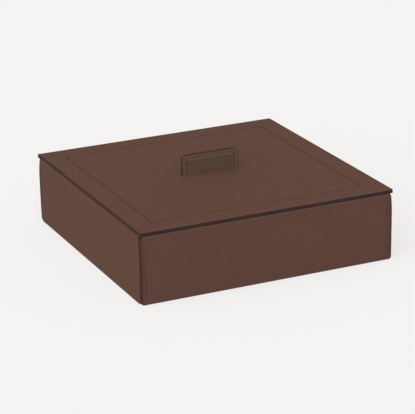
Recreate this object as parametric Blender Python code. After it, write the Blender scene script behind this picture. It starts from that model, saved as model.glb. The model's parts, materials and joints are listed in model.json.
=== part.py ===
"""Square leather box with a lift-off lid and a stitched tab handle.

Units are metres, +Z is up and the front faces -Y. The origin is the middle of the face it stands on.
Thick leather panels with painted edges clad a rebated carcass. The lid is one leather slab over a lined
board that drops into the opening. Both leaves of the handle pass through a slot in the slab, and their
feet fold outwards into a pocket of that board.
"""

import math

import bmesh
import bpy
from mathutils import Matrix, Vector

# Case
CASE_WIDTH = 0.2590
CASE_DEPTH = 0.2590
CASE_HEIGHT = 0.0663

# Leather panels of the case
LEATHER_THICKNESS = 0.0030
PANEL_GROUND_CLEARANCE = 0.0002
PANEL_CORNER_RADIUS = 0.0022
PANEL_STITCH_INSET = 0.0052
PANEL_STITCH_MARGIN = 0.0050

# Carcass
BOARD_THICKNESS = 0.0045
REBATE_SHARE = 0.5
RIM_ROUNDING = 0.0005

# Lining and base
LINING_THICKNESS = 0.0008
LINING_SETBACK = 0.0010
BASE_COVER_THICKNESS = 0.0015
BASE_CORNER_RADIUS = 0.0020
BASE_EDGE_ROUNDING = 0.0004

# Lid
LID_OVERHANG = 0.0005
LID_THICKNESS = 0.0037
LID_CORNER_RADIUS = 0.0009
LID_STITCH_INSET = 0.0220

# Locating board under the lid
LOCATOR_THICKNESS = 0.0050
LOCATOR_CLEARANCE = 0.0010
LOCATOR_CORNER_RADIUS = 0.0030
LOCATOR_EDGE_ROUNDING = 0.0010

# Handle
HANDLE_WIDTH = 0.0600
HANDLE_HEIGHT = 0.0205
HANDLE_CORNER_RADIUS = 0.0045
HANDLE_STITCH_INSET = 0.0052
LEAF_THICKNESS = 0.0013
FOOT_LENGTH = 0.0120
FOOT_CORNER_RADIUS = 0.0030

# Finish of the leather
EDGE_ROUNDING = 0.0005
LEAF_EDGE_ROUNDING = 0.0004
CHANNEL_WIDTH = 0.0012
CHANNEL_DEPTH = 0.0003

# Between glued or resting pieces
SEAT_GAP = 0.0003

# How far a cutter runs past what it cuts
CUT_OVERRUN = 0.0010

# Angle within which two directions count as one
PARALLEL_ANGLE = math.radians(8)

# Facets
ARC_STEPS = 8
ROUNDING_STEPS = 3
BEND_STEPS = 8
SMOOTH_ANGLE = math.radians(40)

# Largest share of a thickness that one rounded edge takes
ROUNDING_LIMIT_SHARE = 0.45

# Heights
CARCASS_BOTTOM = BASE_COVER_THICKNESS + SEAT_GAP
RIM_TOP = CASE_HEIGHT
FLOOR_TOP = CARCASS_BOTTOM + BOARD_THICKNESS
LINING_TOP = RIM_TOP - LINING_SETBACK
LID_BOTTOM = RIM_TOP + SEAT_GAP
LID_TOP = LID_BOTTOM + LID_THICKNESS
LOCATOR_TOP = LID_BOTTOM - SEAT_GAP
LOCATOR_BOTTOM = LOCATOR_TOP - LOCATOR_THICKNESS

# Half sizes from the middle outwards, along X and Y
HALF_CASE = Vector((CASE_WIDTH, CASE_DEPTH)) / 2
HALF_LID = HALF_CASE + Vector((LID_OVERHANG, LID_OVERHANG))


def inset(half, amount):
    """Half sizes that lie the same amount further in along X and Y."""
    return half - Vector((amount, amount))


HALF_CARCASS = inset(HALF_CASE, LEATHER_THICKNESS + SEAT_GAP)
HALF_CARCASS_INSIDE = inset(HALF_CARCASS, BOARD_THICKNESS)
REBATE_DEPTH = BOARD_THICKNESS * REBATE_SHARE
HALF_REBATE = inset(HALF_CARCASS_INSIDE, -REBATE_DEPTH)
HALF_LINING = inset(HALF_CARCASS_INSIDE, SEAT_GAP)
HALF_LINING_INSIDE = inset(HALF_LINING, LINING_THICKNESS)
HALF_LOCATOR_LINING = inset(HALF_LINING_INSIDE, LOCATOR_CLEARANCE)
HALF_LOCATOR = inset(HALF_LOCATOR_LINING, LINING_THICKNESS + SEAT_GAP)

# Handle, from its middle plane outwards
LEAF_INNER = SEAT_GAP / 2
LEAF_OUTER = LEAF_INNER + LEAF_THICKNESS
SLOT_HALF_DEPTH = LEAF_OUTER + SEAT_GAP
SLOT_HALF_WIDTH = HANDLE_WIDTH / 2 + SEAT_GAP
HANDLE_TOP = LID_TOP + HANDLE_HEIGHT
POCKET_HALF_DEPTH = SLOT_HALF_DEPTH + FOOT_LENGTH + SEAT_GAP
POCKET_DEPTH = LEAF_THICKNESS + SEAT_GAP
POCKET_CORNER_RADIUS = FOOT_CORNER_RADIUS + SEAT_GAP

AXIS_X = Vector((1, 0, 0))
AXIS_Y = Vector((0, 1, 0))
AXIS_Z = Vector((0, 0, 1))

# Linear colours and roughness
FINISHES = {
    "brown_leather": ((0.122, 0.064, 0.047), 0.52),
    "painted_edge": ((0.036, 0.030, 0.026), 0.45),
    "dark_board": ((0.040, 0.032, 0.027), 0.70),
    "brown_suede": ((0.150, 0.094, 0.066), 0.95),
    "base_felt": ((0.060, 0.040, 0.032), 0.98),
}


def clear_scene():
    """Remove whatever the file opens with."""
    for item in list(bpy.data.objects):
        bpy.data.objects.remove(item, do_unlink=True)


def finish(name):
    """Material of the given name, made the first time that it is asked for."""
    found = bpy.data.materials.get(name)
    if found:
        return found
    colour, roughness = FINISHES[name]
    made = bpy.data.materials.new(name)
    made.use_nodes = True
    shader = made.node_tree.nodes["Principled BSDF"]
    shader.inputs["Base Color"].default_value = (*colour, 1)
    shader.inputs["Roughness"].default_value = roughness
    shader.inputs["Metallic"].default_value = 0
    return made


def add_frame(name, height):
    """Empty on the middle line of the box, which the pieces of one body hang from."""
    frame = bpy.data.objects.new(name, None)
    frame.location = (0, 0, height)
    bpy.context.scene.collection.objects.link(frame)
    return frame


def add_piece(name, bm, materials, frame):
    """Turn a mesh under construction into a named object that hangs from a frame."""
    bmesh.ops.translate(bm, verts=bm.verts, vec=-frame.location)
    mesh = bpy.data.meshes.new(name)
    bm.to_mesh(mesh)
    bm.free()
    mesh.shade_smooth()
    mesh.set_sharp_from_angle(angle=SMOOTH_ANGLE)
    for material in materials:
        mesh.materials.append(finish(material))
    piece = bpy.data.objects.new(name, mesh)
    bpy.context.scene.collection.objects.link(piece)
    piece.parent = frame
    return piece


def cut(piece, name, bm):
    """Cut a shape out of a piece with a live Boolean."""
    cutter = add_piece(name, bm, [], piece.parent)
    cutter.hide_render = True
    cutter.display_type = "WIRE"
    boolean = piece.modifiers.new(name, "BOOLEAN")
    boolean.operation = "DIFFERENCE"
    boolean.solver = "EXACT"
    boolean.object = cutter


def limited(rounding, thickness):
    """Rounding of an edge, kept within what the piece's thickness allows."""
    return min(rounding, thickness * ROUNDING_LIMIT_SHARE)


def arc(centre, radius, start, end, steps=ARC_STEPS):
    """Points of an arc in a plane, both ends included. Angles are in degrees."""
    points = []
    for step in range(steps + 1):
        angle = math.radians(start + (end - start) * step / steps)
        points.append((centre[0] + radius * math.cos(angle), centre[1] + radius * math.sin(angle)))
    return points


def rounded_rectangle(half_width, half_height, radius):
    """Outline about the middle, anticlockwise, with round corners."""
    radius = min(radius, half_width, half_height)
    right = half_width - radius
    top = half_height - radius
    outline = arc((right, top), radius, 0, 90)
    outline += arc((-right, top), radius, 90, 180)
    outline += arc((-right, -top), radius, 180, 270)
    outline += arc((right, -top), radius, 270, 360)
    return outline


def rectangle(half_width, half_height):
    """Outline about the middle, anticlockwise, with sharp corners."""
    return [
        (half_width, half_height),
        (-half_width, half_height),
        (-half_width, -half_height),
        (half_width, -half_height),
    ]


def slab(outline, origin, across, along, thickness):
    """Closed solid: an outline drawn from an origin in two directions, thickened by a vector."""
    bm = bmesh.new()
    corners = [bm.verts.new(origin + across * a + along * b) for a, b in outline]
    face = bm.faces.new(corners)
    extruded = bmesh.ops.extrude_face_region(bm, geom=[face])
    raised = [item for item in extruded["geom"] if isinstance(item, bmesh.types.BMVert)]
    bmesh.ops.translate(bm, verts=raised, vec=thickness)
    bmesh.ops.recalc_face_normals(bm, faces=bm.faces)
    return bm


def flat_slab(outline, bottom, top):
    """Slab that lies level between two heights."""
    return slab(outline, AXIS_Z * bottom, AXIS_X, AXIS_Y, AXIS_Z * (top - bottom))


def box(low, high):
    """Closed block between two corners."""
    middle = (low + high) / 2
    half = (high - low) / 2
    outline = rectangle(half.x, half.y)
    origin = Vector((middle.x, middle.y, low.z))
    return slab(outline, origin, AXIS_X, AXIS_Y, AXIS_Z * (high.z - low.z))


def parallel(first, second):
    """Whether two directions of unit length point the same way."""
    return first.dot(second) > math.cos(PARALLEL_ANGLE)


def faces_towards(bm, direction):
    """Faces that look along a direction."""
    bm.normal_update()
    return [face for face in bm.faces if parallel(face.normal, direction)]


def outline_edges(bm, direction):
    """Edges where the faces that look along a direction meet the sides of a piece."""
    flat = faces_towards(bm, direction)
    edges = {edge for face in flat for edge in face.edges}
    return [edge for edge in edges if sum(face in flat for face in edge.link_faces) == 1]


def pull(bm, faces, move):
    """Extrude faces of a closed solid by a vector, and leave no wall behind inside it."""
    extruded = bmesh.ops.extrude_face_region(bm, geom=faces)
    moved = [item for item in extruded["geom"] if isinstance(item, bmesh.types.BMVert)]
    bmesh.ops.translate(bm, verts=moved, vec=move)
    bmesh.ops.delete(bm, geom=faces, context="FACES")


def runs_along(edge, direction):
    run = (edge.verts[1].co - edge.verts[0].co).normalized()
    return parallel(run, direction) or parallel(-run, direction)


def lowest(edge):
    return min(vert.co.z for vert in edge.verts)


def highest(edge):
    return max(vert.co.z for vert in edge.verts)


def round_edges(bm, edges, amount, steps=ROUNDING_STEPS):
    """Round a set of edges off."""
    bmesh.ops.bevel(
        bm,
        geom=edges,
        offset=amount,
        segments=steps,
        profile=0.5,
        affect="EDGES",
        clamp_overlap=True,
    )


def round_both_faces(bm, normal, amount):
    """Round the outline of a slab on the two faces that its normal passes through."""
    round_edges(bm, outline_edges(bm, normal) + outline_edges(bm, -normal), amount)


def paint_edges(bm, normal):
    """Give the second material to all but the two broad faces of a leather slab."""
    bm.normal_update()
    for face in bm.faces:
        broad = parallel(face.normal, normal) or parallel(-face.normal, normal)
        face.material_index = 0 if broad else 1


def square_ring(half, width, bottom, top):
    """Closed ring with mitred corners: a rectangular section carried round four corners."""
    bm = bmesh.new()
    outer = inset(half, -width / 2)
    inner = inset(half, width / 2)
    section = [(outer, bottom), (outer, top), (inner, top), (inner, bottom)]
    loops = []
    for right, back in ((1, 1), (-1, 1), (-1, -1), (1, -1)):
        loops.append([bm.verts.new((right * reach.x, back * reach.y, height)) for reach, height in section])
    for number, loop in enumerate(loops):
        following = loops[(number + 1) % len(loops)]
        for corner in range(len(section)):
            beside = (corner + 1) % len(section)
            bm.faces.new((loop[corner], following[corner], following[beside], loop[beside]))
    bmesh.ops.recalc_face_normals(bm, faces=bm.faces)
    return bm


def turned_to_back(bm):
    """Turn a piece of the front half round the middle line, so that it serves at the back."""
    bmesh.ops.rotate(bm, verts=bm.verts, cent=(0, 0, 0), matrix=Matrix.Rotation(math.pi, 3, "Z"))
    return bm


def turned_to_right(bm):
    """Turn a piece of the left half round the middle line, so that it serves at the right."""
    return turned_to_back(bm)


def unchanged(bm):
    """Leave a piece where it was drawn."""
    return bm


# Leather panels of the case


def panel_height():
    return CASE_HEIGHT - PANEL_GROUND_CLEARANCE


def panel_middle():
    return PANEL_GROUND_CLEARANCE + panel_height() / 2


def front_panel():
    """Panel over the whole front. Its painted ends show at the sides of the box."""
    outline = rounded_rectangle(HALF_CASE.x, panel_height() / 2, PANEL_CORNER_RADIUS)
    origin = Vector((0, -HALF_CASE.y, panel_middle()))
    bm = slab(outline, origin, AXIS_X, AXIS_Z, AXIS_Y * LEATHER_THICKNESS)
    round_both_faces(bm, AXIS_Y, limited(EDGE_ROUNDING, LEATHER_THICKNESS))
    paint_edges(bm, AXIS_Y)
    return bm


def side_panel():
    """Panel of the left side, between the front and back panels."""
    half_length = HALF_CASE.y - LEATHER_THICKNESS - SEAT_GAP
    outline = rounded_rectangle(half_length, panel_height() / 2, PANEL_CORNER_RADIUS)
    origin = Vector((-HALF_CASE.x, 0, panel_middle()))
    bm = slab(outline, origin, AXIS_Y, AXIS_Z, AXIS_X * LEATHER_THICKNESS)
    round_both_faces(bm, AXIS_X, limited(EDGE_ROUNDING, LEATHER_THICKNESS))
    paint_edges(bm, AXIS_X)
    return bm


def stitch_channel(x):
    """Cutter for one upright stitch row of the front panel."""
    half_height = panel_height() / 2 - PANEL_STITCH_MARGIN
    outline = rounded_rectangle(CHANNEL_WIDTH / 2, half_height, CHANNEL_WIDTH / 2)
    origin = Vector((x, -HALF_CASE.y - CUT_OVERRUN, panel_middle()))
    return slab(outline, origin, AXIS_X, AXIS_Z, AXIS_Y * (CUT_OVERRUN + CHANNEL_DEPTH))


def build_panels(frame):
    leather = ["brown_leather", "painted_edge"]
    row = HALF_CASE.x - PANEL_STITCH_INSET
    for side, turn in (("front", unchanged), ("back", turned_to_back)):
        panel = add_piece("leather_" + side, turn(front_panel()), leather, frame)
        cut(panel, "channel_%s_left" % side, turn(stitch_channel(-row)))
        cut(panel, "channel_%s_right" % side, turn(stitch_channel(row)))
    add_piece("leather_left", side_panel(), leather, frame)
    add_piece("leather_right", turned_to_right(side_panel()), leather, frame)


# Carcass


def board_profile():
    """Section of a wall board: distance in from its outer face, and height.

    The step at the foot of its inner side takes the floor board.
    """
    step = BOARD_THICKNESS - REBATE_DEPTH
    shoulder = FLOOR_TOP + SEAT_GAP
    return [
        (0, CARCASS_BOTTOM),
        (step, CARCASS_BOTTOM),
        (step, shoulder),
        (BOARD_THICKNESS, shoulder),
        (BOARD_THICKNESS, RIM_TOP),
        (0, RIM_TOP),
    ]


def front_board():
    origin = Vector((-HALF_CARCASS.x, -HALF_CARCASS.y, 0))
    bm = slab(board_profile(), origin, AXIS_Y, AXIS_Z, AXIS_X * HALF_CARCASS.x * 2)
    ease_rim(bm, AXIS_X)
    return bm


def side_board():
    """Board of the left side. Its ends stand in the rebates of the front and back boards."""
    half_length = HALF_REBATE.y - SEAT_GAP
    origin = Vector((-HALF_CARCASS.x, -half_length, 0))
    bm = slab(board_profile(), origin, AXIS_X, AXIS_Z, AXIS_Y * half_length * 2)
    ease_rim(bm, AXIS_Y)
    return bm


def ease_rim(bm, along):
    """Round the two long edges of a wall board's rim."""
    rim = [edge for edge in outline_edges(bm, AXIS_Z) if runs_along(edge, along)]
    rim = [edge for edge in rim if lowest(edge) > RIM_TOP - SEAT_GAP]
    round_edges(bm, rim, limited(RIM_ROUNDING, BOARD_THICKNESS))


def end_rebate(side):
    """Cutter for the rebate at one end of the front board, where the side board stands."""
    shoulder = HALF_CARCASS_INSIDE.x - SEAT_GAP
    outer = HALF_CARCASS.x + CUT_OVERRUN
    left, right = sorted((side * shoulder, side * outer))
    low = Vector((left, -HALF_REBATE.y, CARCASS_BOTTOM - CUT_OVERRUN))
    high = Vector((right, CUT_OVERRUN - HALF_CARCASS_INSIDE.y, RIM_TOP + CUT_OVERRUN))
    return box(low, high)


def floor_board():
    half = inset(HALF_REBATE, SEAT_GAP)
    return flat_slab(rectangle(half.x, half.y), CARCASS_BOTTOM, FLOOR_TOP)


def build_carcass(frame):
    board = ["dark_board"]
    for side, turn in (("front", unchanged), ("back", turned_to_back)):
        piece = add_piece("carcass_" + side, turn(front_board()), board, frame)
        cut(piece, "rebate_%s_left" % side, turn(end_rebate(-1)))
        cut(piece, "rebate_%s_right" % side, turn(end_rebate(1)))
    add_piece("carcass_left", side_board(), board, frame)
    add_piece("carcass_right", turned_to_right(side_board()), board, frame)
    add_piece("carcass_floor", floor_board(), board, frame)


# Lining and base


def front_lining():
    low = Vector((-HALF_LINING.x, -HALF_LINING.y, FLOOR_TOP + SEAT_GAP))
    high = Vector((HALF_LINING.x, -HALF_LINING_INSIDE.y, LINING_TOP))
    return softened_sheet(low, high)


def side_lining():
    half_length = HALF_LINING_INSIDE.y - SEAT_GAP
    low = Vector((-HALF_LINING.x, -half_length, FLOOR_TOP + SEAT_GAP))
    high = Vector((-HALF_LINING_INSIDE.x, half_length, LINING_TOP))
    return softened_sheet(low, high)


def softened_sheet(low, high):
    """Lining sheet on edge, with its upper edge rolled over."""
    bm = box(low, high)
    round_edges(bm, outline_edges(bm, AXIS_Z), LINING_THICKNESS * ROUNDING_LIMIT_SHARE)
    return bm


def floor_lining():
    half = inset(HALF_LINING_INSIDE, SEAT_GAP)
    bottom = FLOOR_TOP + SEAT_GAP
    return flat_slab(rectangle(half.x, half.y), bottom, bottom + LINING_THICKNESS)


def base_cover():
    outline = rounded_rectangle(HALF_CARCASS.x, HALF_CARCASS.y, BASE_CORNER_RADIUS)
    bm = flat_slab(outline, 0, BASE_COVER_THICKNESS)
    round_edges(bm, outline_edges(bm, -AXIS_Z), limited(BASE_EDGE_ROUNDING, BASE_COVER_THICKNESS))
    return bm


def build_lining(frame):
    suede = ["brown_suede"]
    add_piece("lining_front", front_lining(), suede, frame)
    add_piece("lining_back", turned_to_back(front_lining()), suede, frame)
    add_piece("lining_left", side_lining(), suede, frame)
    add_piece("lining_right", turned_to_right(side_lining()), suede, frame)
    add_piece("lining_floor", floor_lining(), suede, frame)
    add_piece("base_cover", base_cover(), ["base_felt"], frame)


# Lid


def lid_slab():
    outline = rounded_rectangle(HALF_LID.x, HALF_LID.y, LID_CORNER_RADIUS)
    bm = flat_slab(outline, LID_BOTTOM, LID_TOP)
    round_both_faces(bm, AXIS_Z, limited(EDGE_ROUNDING, LID_THICKNESS))
    paint_edges(bm, AXIS_Z)
    return bm


def lid_channel():
    """Cutter for the stitched square of the lid."""
    half = inset(HALF_LID, LID_STITCH_INSET)
    return square_ring(half, CHANNEL_WIDTH, LID_TOP - CHANNEL_DEPTH, LID_TOP + CUT_OVERRUN)


def handle_slot():
    """Cutter for the slot that both leaves of the handle pass through."""
    outline = rectangle(SLOT_HALF_WIDTH, SLOT_HALF_DEPTH)
    return flat_slab(outline, LID_BOTTOM - CUT_OVERRUN, LID_TOP + CUT_OVERRUN)


def locator():
    """Board that drops into the opening, eased along its lower edge."""
    outline = rounded_rectangle(HALF_LOCATOR.x, HALF_LOCATOR.y, LOCATOR_CORNER_RADIUS)
    bm = flat_slab(outline, LOCATOR_BOTTOM, LOCATOR_TOP)
    round_edges(bm, outline_edges(bm, -AXIS_Z), limited(LOCATOR_EDGE_ROUNDING, LOCATOR_THICKNESS))
    return bm


def foot_pocket():
    """Cutter for the pocket in the board's upper face, where the handle's feet lie."""
    outline = rounded_rectangle(SLOT_HALF_WIDTH, POCKET_HALF_DEPTH, POCKET_CORNER_RADIUS)
    return flat_slab(outline, LOCATOR_TOP - POCKET_DEPTH, LOCATOR_TOP + CUT_OVERRUN)


def locator_wrap():
    """Lining round the board: a shallow tray, open towards the lid."""
    skin = LINING_THICKNESS + SEAT_GAP
    outline = rounded_rectangle(HALF_LOCATOR_LINING.x, HALF_LOCATOR_LINING.y, LOCATOR_CORNER_RADIUS + skin)
    bottom = LOCATOR_BOTTOM - skin
    bm = flat_slab(outline, bottom, LOCATOR_TOP)
    top = faces_towards(bm, AXIS_Z)
    bmesh.ops.inset_region(bm, faces=top, thickness=LINING_THICKNESS, use_even_offset=True)
    pull(bm, top, -AXIS_Z * (LOCATOR_THICKNESS + SEAT_GAP))
    return bm


def build_lid(frame):
    lid = add_piece("lid_leather", lid_slab(), ["brown_leather", "painted_edge"], frame)
    cut(lid, "handle_slot", handle_slot())
    cut(lid, "lid_channel", lid_channel())
    board = add_piece("locator_board", locator(), ["dark_board"], frame)
    cut(board, "foot_pocket", foot_pocket())
    add_piece("locator_lining", locator_wrap(), ["brown_suede"], frame)


# Handle


def tab_outline(inset_by, radius, bottom):
    """Open outline of the tab above a height, from the lower left over the top to the lower right."""
    half_width = HANDLE_WIDTH / 2 - inset_by
    top = HANDLE_TOP - inset_by
    outline = [(-half_width, bottom)]
    outline += arc((radius - half_width, top - radius), radius, 180, 90)
    outline += arc((half_width - radius, top - radius), radius, 90, 0)
    outline.append((half_width, bottom))
    return outline


def front_leaf():
    """Leaf of the tab: an upright with round corners that bends forwards into a foot below the lid."""
    outline = tab_outline(0, HANDLE_CORNER_RADIUS, LID_BOTTOM)
    bm = slab(outline, AXIS_Y * -LEAF_OUTER, AXIS_X, AXIS_Z, AXIS_Y * LEAF_THICKNESS)
    paint_edges(bm, AXIS_Y)
    fold_foot(bm)
    trim_foot(bm)
    upright = [edge for edge in outline_edges(bm, -AXIS_Y) if highest(edge) > LID_TOP]
    round_edges(bm, upright, limited(LEAF_EDGE_ROUNDING, LEAF_THICKNESS))
    return bm


def fold_foot(bm):
    """Bend the lower end of the leaf round the lid's slot and run it forwards."""
    lower = faces_towards(bm, -AXIS_Z)
    spun = bmesh.ops.spin(
        bm,
        geom=lower,
        cent=(0, -SLOT_HALF_DEPTH, LID_BOTTOM),
        axis=AXIS_X,
        angle=-math.pi / 2,
        steps=BEND_STEPS,
        use_duplicate=False,
    )
    bmesh.ops.delete(bm, geom=lower, context="FACES_ONLY")
    end = [item for item in spun["geom_last"] if isinstance(item, bmesh.types.BMFace)]
    pull(bm, end, -AXIS_Y * FOOT_LENGTH)
    bmesh.ops.recalc_face_normals(bm, faces=bm.faces)


def trim_foot(bm):
    """Round the two free corners of the foot."""
    foot_middle = -SLOT_HALF_DEPTH - FOOT_LENGTH / 2
    tip = [edge for edge in bm.edges if runs_along(edge, AXIS_Z) and edge.verts[0].co.y < foot_middle]
    round_edges(bm, tip, min(FOOT_CORNER_RADIUS, FOOT_LENGTH / 2), ARC_STEPS)


def tab_channel():
    """Cutter for the stitch row that follows the tab's outline on its outer face."""
    half_width = CHANNEL_WIDTH / 2
    radius = max(HANDLE_CORNER_RADIUS - HANDLE_STITCH_INSET, CHANNEL_WIDTH)
    bottom = LID_TOP + CHANNEL_WIDTH
    outer = tab_outline(HANDLE_STITCH_INSET - half_width, radius + half_width, bottom)
    inner = tab_outline(HANDLE_STITCH_INSET + half_width, radius - half_width, bottom)
    outline = outer + inner[::-1]
    origin = AXIS_Y * (-LEAF_OUTER - CUT_OVERRUN)
    return slab(outline, origin, AXIS_X, AXIS_Z, AXIS_Y * (CUT_OVERRUN + CHANNEL_DEPTH))


def build_handle(frame):
    leather = ["brown_leather", "painted_edge"]
    for side, turn in (("front", unchanged), ("back", turned_to_back)):
        leaf = add_piece("handle_%s_leaf" % side, turn(front_leaf()), leather, frame)
        cut(leaf, "channel_%s_leaf" % side, turn(tab_channel()))


def main():
    clear_scene()
    case = add_frame("case", 0)
    build_carcass(case)
    build_panels(case)
    build_lining(case)
    lid = add_frame("lid", LID_BOTTOM)
    build_lid(lid)
    build_handle(lid)


main()
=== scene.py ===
"""Looks of a square leather box with a lift-off lid and an upright stitched tab handle.

Units are metres, +Z is up and the front faces -Y. Every piece is built on the frame's own sizes.
"""

import json
import math
from collections import namedtuple
from contextlib import contextmanager

import bmesh
import bpy
from bpy.props import FloatProperty, FloatVectorProperty, PointerProperty
from bpy.types import Operator, Panel, PropertyGroup
from mathutils import Matrix, Quaternion, Vector


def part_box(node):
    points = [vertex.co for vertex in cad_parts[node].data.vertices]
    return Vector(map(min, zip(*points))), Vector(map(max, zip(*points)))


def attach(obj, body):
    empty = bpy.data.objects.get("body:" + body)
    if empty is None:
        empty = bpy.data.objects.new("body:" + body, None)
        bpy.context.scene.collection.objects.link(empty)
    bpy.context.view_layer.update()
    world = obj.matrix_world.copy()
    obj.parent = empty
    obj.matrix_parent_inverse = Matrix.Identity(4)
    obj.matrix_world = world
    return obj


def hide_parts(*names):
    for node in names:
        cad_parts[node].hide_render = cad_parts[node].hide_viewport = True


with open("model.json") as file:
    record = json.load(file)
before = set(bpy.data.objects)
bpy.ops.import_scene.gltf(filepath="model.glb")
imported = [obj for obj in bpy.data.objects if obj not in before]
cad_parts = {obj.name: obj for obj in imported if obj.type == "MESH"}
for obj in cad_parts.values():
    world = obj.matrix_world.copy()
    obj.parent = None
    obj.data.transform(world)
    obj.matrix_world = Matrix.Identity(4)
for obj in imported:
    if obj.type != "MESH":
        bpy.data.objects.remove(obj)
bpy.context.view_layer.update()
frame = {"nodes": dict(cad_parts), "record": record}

bl_info = {
    "name": "Square Leather Box",
    "version": (1, 0, 0),
    "blender": (4, 5, 0),
    "location": "3D View > Sidebar > Leather Box",
    "description": "Clads, sews, lines and lights a square leather box",
    "category": "Object",
}

AXIS_X = Vector((1, 0, 0))
AXIS_Y = Vector((0, 1, 0))
AXIS_Z = Vector((0, 0, 1))

# The way that each wall of the case faces
WALLS = {"front": -AXIS_Y, "back": AXIS_Y, "left": -AXIS_X, "right": AXIS_X}

# Directions closer than this count as one, and points closer than this count as level
SAME_WAY = math.cos(math.radians(8))
LEVEL = 0.00005

# Edges sharper than this stay sharp
SMOOTH_ANGLE = math.radians(38)

# Faces that lean further than this from a broad face carry the edge paint
PAINT_ANGLE = math.radians(45)

# Specular level of the matt leather and of its edge paint
LEATHER_GLOSS = 0.004

# Tone of the leather beside the edges: a darker burnish on a panel and the lid, a painted highlight
# on the tab
PANEL_EDGE_TONE = 0.84
LID_EDGE_TONE = 0.97
TAB_EDGE_HIGHLIGHT = 1.13

# Share of the edge zone that has its full tone, how softly the zone and the edge paint end, and how
# far their outline wanders
FULL_ZONE_SHARE = 0.65
ZONE_FADE = 0.0005
LAP_FADE = 0.0004
LAP_WANDER = 0.0003

# Tone of the painted groove shade along the stitched square, and its share at the front and back row
ROW_SHADE_TONE = 0.90
FRONT_ROW_SHADE_SHARE = 0.35

# Share of the leather colour mixed into the paint at the lower arris of the lid's ends, and its tone
LOWER_END_SHARE = 0.7
LOWER_END_TONE = 0.85

# Width of the creases between the pebbles of the grain, as a share of a pebble
CREASE_SHARE = 0.16

# Steps that round the corners and edges of each kind of piece
SLAB_CORNER_STEPS = 10
SLAB_EDGE_STEPS = 5
TAB_CORNER_STEPS = 12
TAB_EDGE_STEPS = 4
FOLD_STEPS = 8
FOOT_CORNER_STEPS = 8
SHEET_EDGE_STEPS = 3
WRAP_CORNER_STEPS = 8
WRAP_EDGE_STEPS = 5

# Lengths that the ends of a panel are divided into
BOW_STEPS = 16

# Lengths of floor in a groove for each stitch, and how near to a needle hole's place the middle of a
# length lies that gets the hole, as a share of that length
FLOORS_PER_STITCH = 6
HOLE_REACH = 0.6

# Width of the sloping walls of a groove and of a needle hole, as shares of half the groove's width
GROOVE_SLOPE = 0.5
HOLE_SLOPE = 0.25

# Sides of a stitch, cuts along it, and the share of its length over which an end dips into its hole
STITCH_SIDES = 8
STITCH_CUTS = 7
STITCH_DIP = 0.3

# A stitch row: its first and last needle hole, and the way that its face looks
Seam = namedtuple("Seam", "start end facing")

# Looks of a leather piece: its colour, its edge paint, the axes along which the paint laps over the
# edges, how far it laps, the tone of the leather beside it (a darker burnish, or on the tab a
# painted highlight), the axis along which its edges are burnished, their gloss, and whether the
# painted shade of the stitched square falls on it
Dress = namedtuple("Dress", "colour paint ways lap tone burnished gloss squared")


# Sizes and colours


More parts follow.
